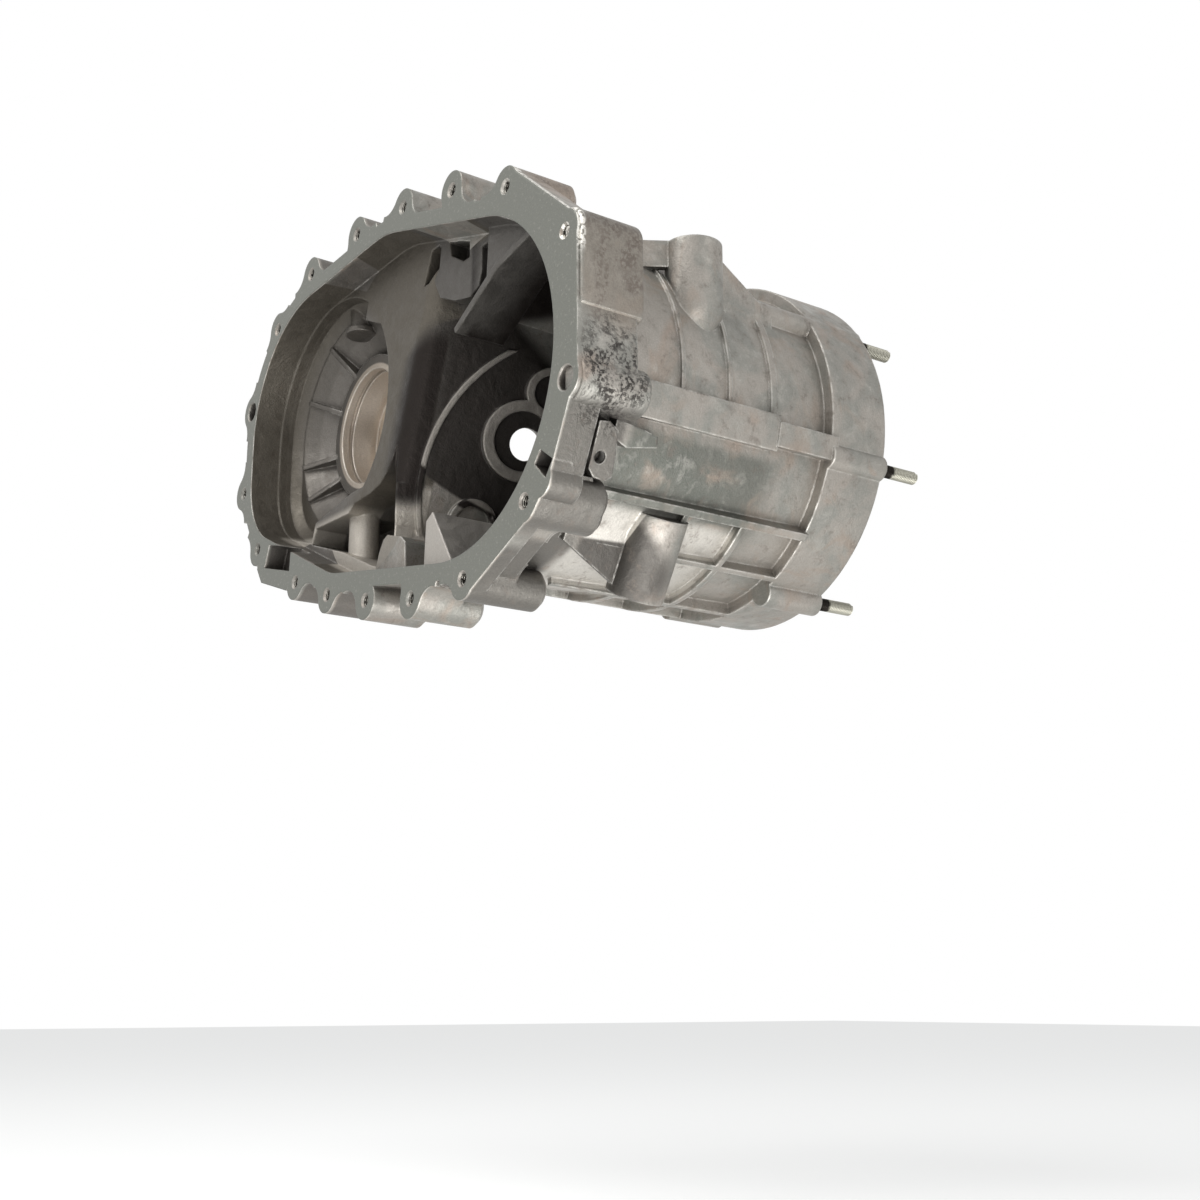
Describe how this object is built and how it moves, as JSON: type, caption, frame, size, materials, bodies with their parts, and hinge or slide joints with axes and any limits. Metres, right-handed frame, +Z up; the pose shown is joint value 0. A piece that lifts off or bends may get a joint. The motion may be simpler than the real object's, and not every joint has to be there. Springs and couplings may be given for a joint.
{
  "type": "transfer case half",
  "caption": "Die-cast half of a transfer case with a deep main chamber, a shallow front output chamber, a drilled joint face and studs at the far end.",
  "frame": {"origin": "the main shaft's line on the machined joint face", "axes": "+Y from the joint face into the body along the shafts, +X to the right as seen from the open side, +Z up"},
  "size_m": [0.4286, 0.263, 0.286],
  "materials": {
    "cast_aluminium": "die-cast, stained, with machined faces",
    "zinc_steel": "zinc plated, threaded"
  },
  "bodies": {
    "root": {"case_half": "cast_aluminium", "far_end_studs": "zinc_steel"}
  },
  "joints": []
}
